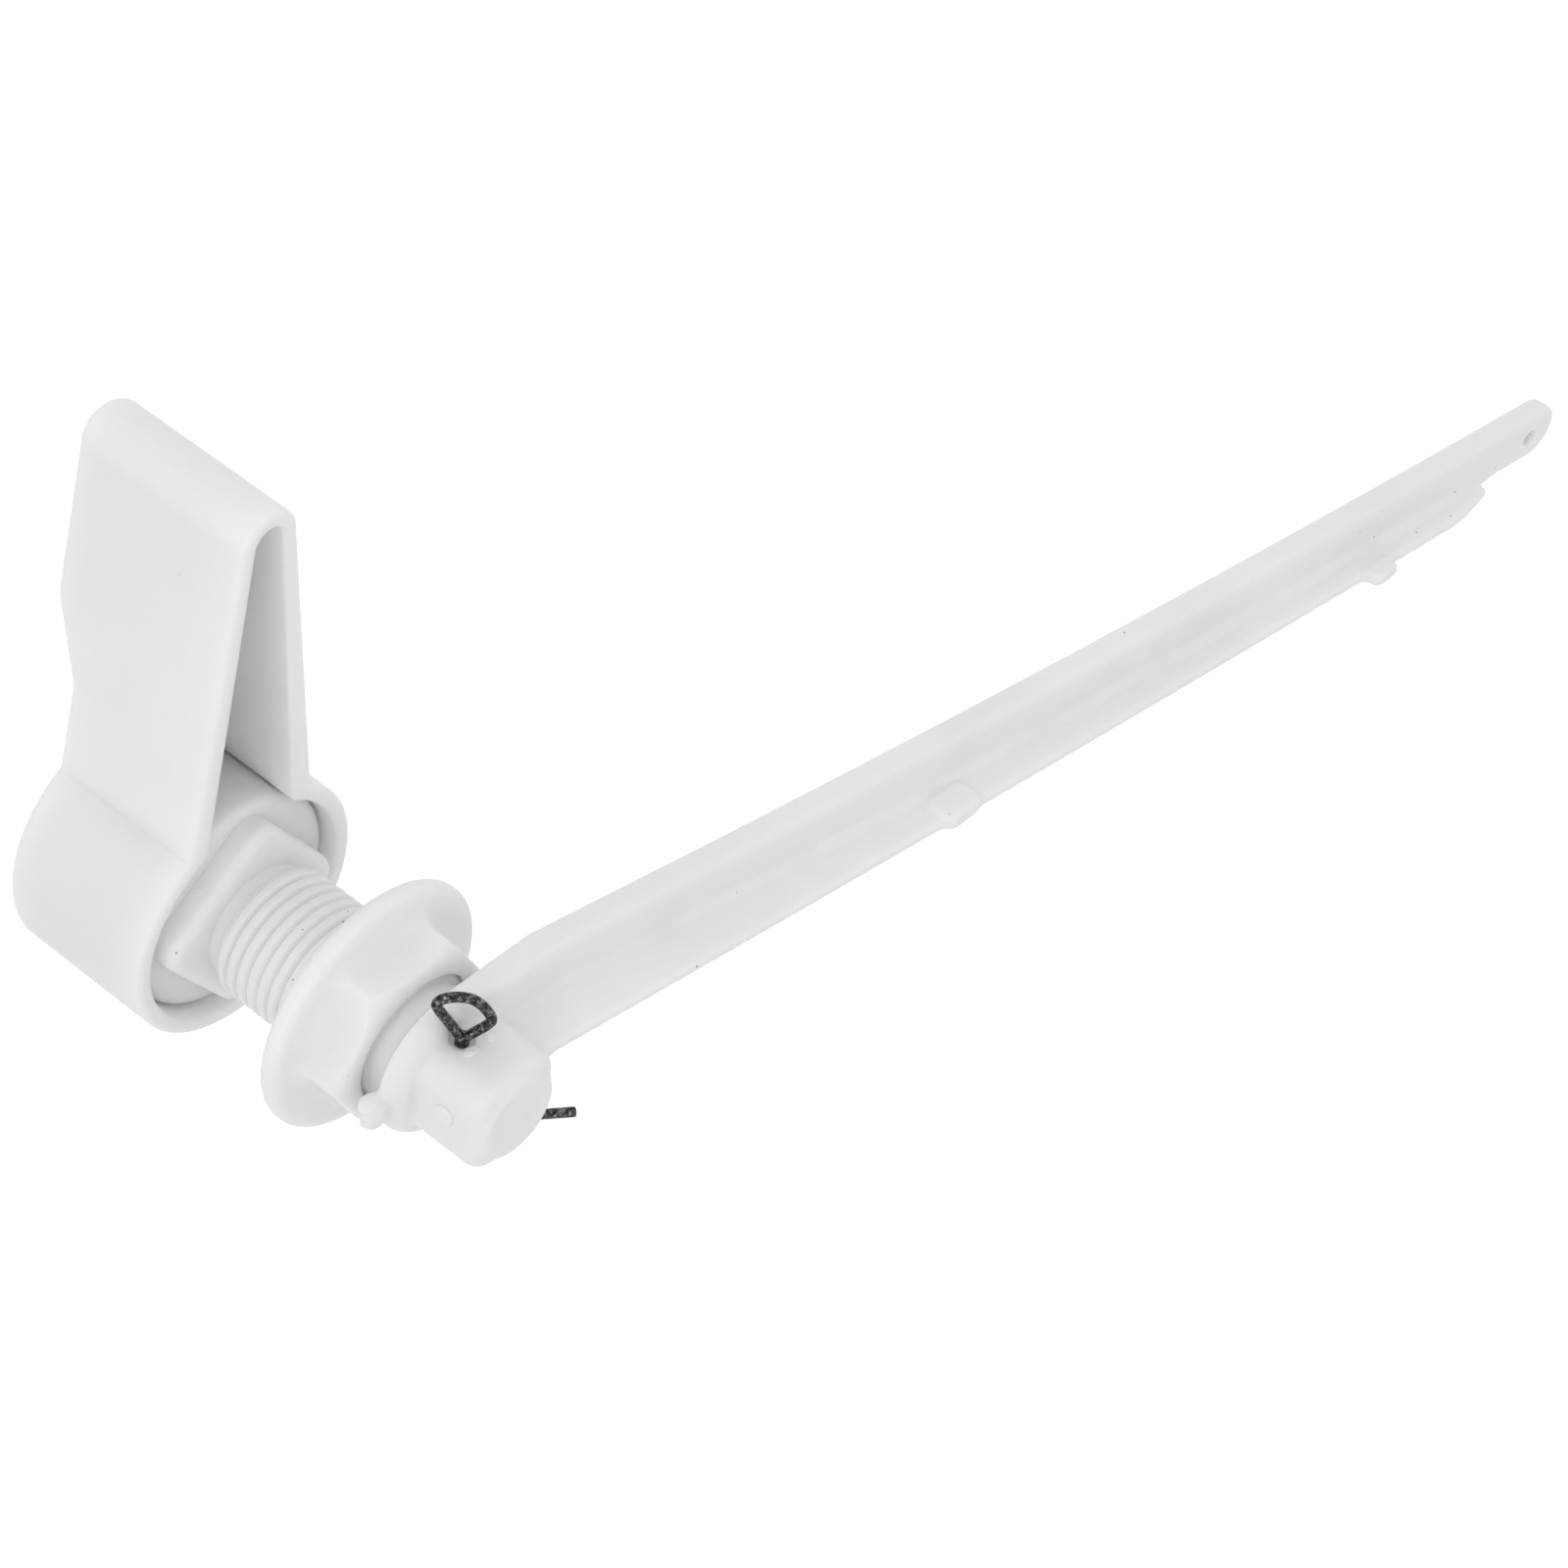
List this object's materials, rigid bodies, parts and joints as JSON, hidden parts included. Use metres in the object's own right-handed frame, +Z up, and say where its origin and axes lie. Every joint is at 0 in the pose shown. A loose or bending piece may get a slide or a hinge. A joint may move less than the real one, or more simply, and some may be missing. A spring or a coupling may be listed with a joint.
{
  "type": "cistern lever",
  "caption": "Flush lever for a toilet cistern: hollow paddle handle with a spindle in a threaded, square-headed bush, flanged back nut, and a long cranked arm held by a split pin.",
  "frame": {"origin": "on the spindle's axis, on the face of the bush's square head that bears on the outside of the cistern wall", "axes": "+Y along the spindle from the handle into the cistern, +Z up along the paddle, the lever arm towards -X"},
  "size_m": [0.2237, 0.0929, 0.0856],
  "materials": {
    "white_plastic": "satin moulded white plastic",
    "pin_steel": "dark drawn steel wire"
  },
  "bodies": {
    "bush": {"bush": "white_plastic"},
    "lever": {"handle": "white_plastic", "lever_arm": "white_plastic", "split_pin": "pin_steel"},
    "nut": {"back_nut": "white_plastic"}
  },
  "joints": [
    {"name": "lever_turn", "type": "hinge", "parent": "bush", "child": "lever", "pos_m": [0, 0, 0], "axis": [0, 1, 0], "range_deg": [0, 50]},
    {"name": "nut_travel", "type": "slide", "parent": "bush", "child": "nut", "axis": [0, 1, 0], "range_m": [-0.0165, 0.0015]}
  ]
}
